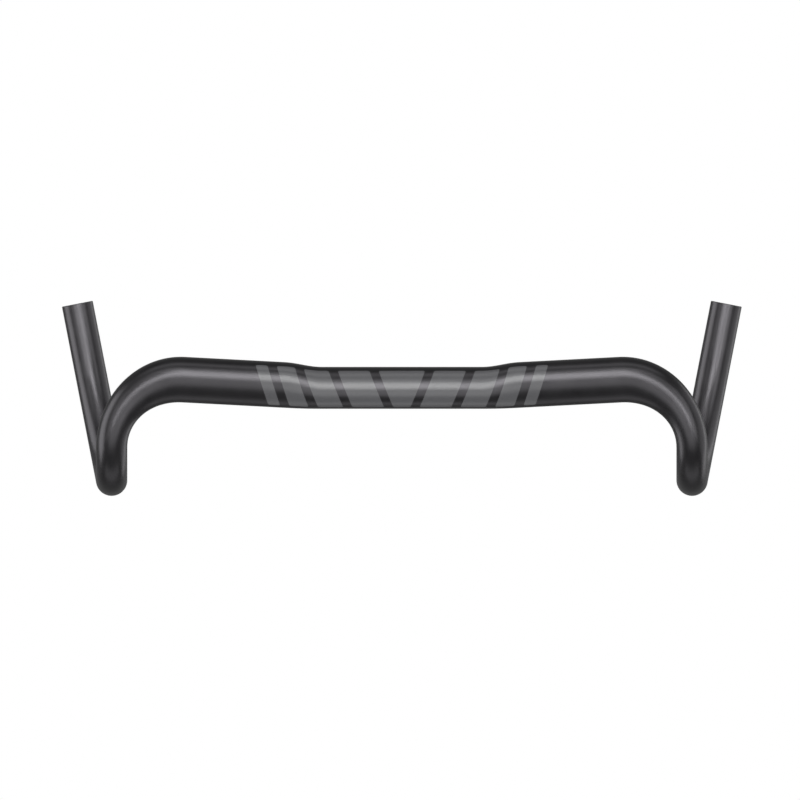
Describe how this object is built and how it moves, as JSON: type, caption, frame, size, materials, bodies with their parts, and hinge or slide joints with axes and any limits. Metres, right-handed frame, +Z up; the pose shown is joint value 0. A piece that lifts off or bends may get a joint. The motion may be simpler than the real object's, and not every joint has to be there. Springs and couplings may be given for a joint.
{
  "type": "drop handlebar",
  "caption": "Bent one-piece road bar: round clamp zone, oval swept tops, curved hooks and outswept open grips, with plain graphics film on the tops.",
  "frame": {"origin": "on the axis of the round clamp zone, at mid width", "axes": "+X towards the rider's left along the clamp axis, +Y rearwards to the rider, -Y forwards, +Z up"},
  "size_m": [0.5154, 0.148, 0.1429],
  "materials": {
    "anodised_black": "bead-blasted, black anodised, satin",
    "graphics_grey": "smooth grey ink film, semi-gloss"
  },
  "bodies": {
    "root": {"handlebar_tube": "anodised_black", "film_middle": "graphics_grey", "film_left_1": "graphics_grey", "film_left_2": "graphics_grey", "film_left_3": "graphics_grey", "film_left_4": "graphics_grey", "film_right_1": "graphics_grey", "film_right_2": "graphics_grey", "film_right_3": "graphics_grey", "film_right_4": "graphics_grey"}
  },
  "joints": []
}
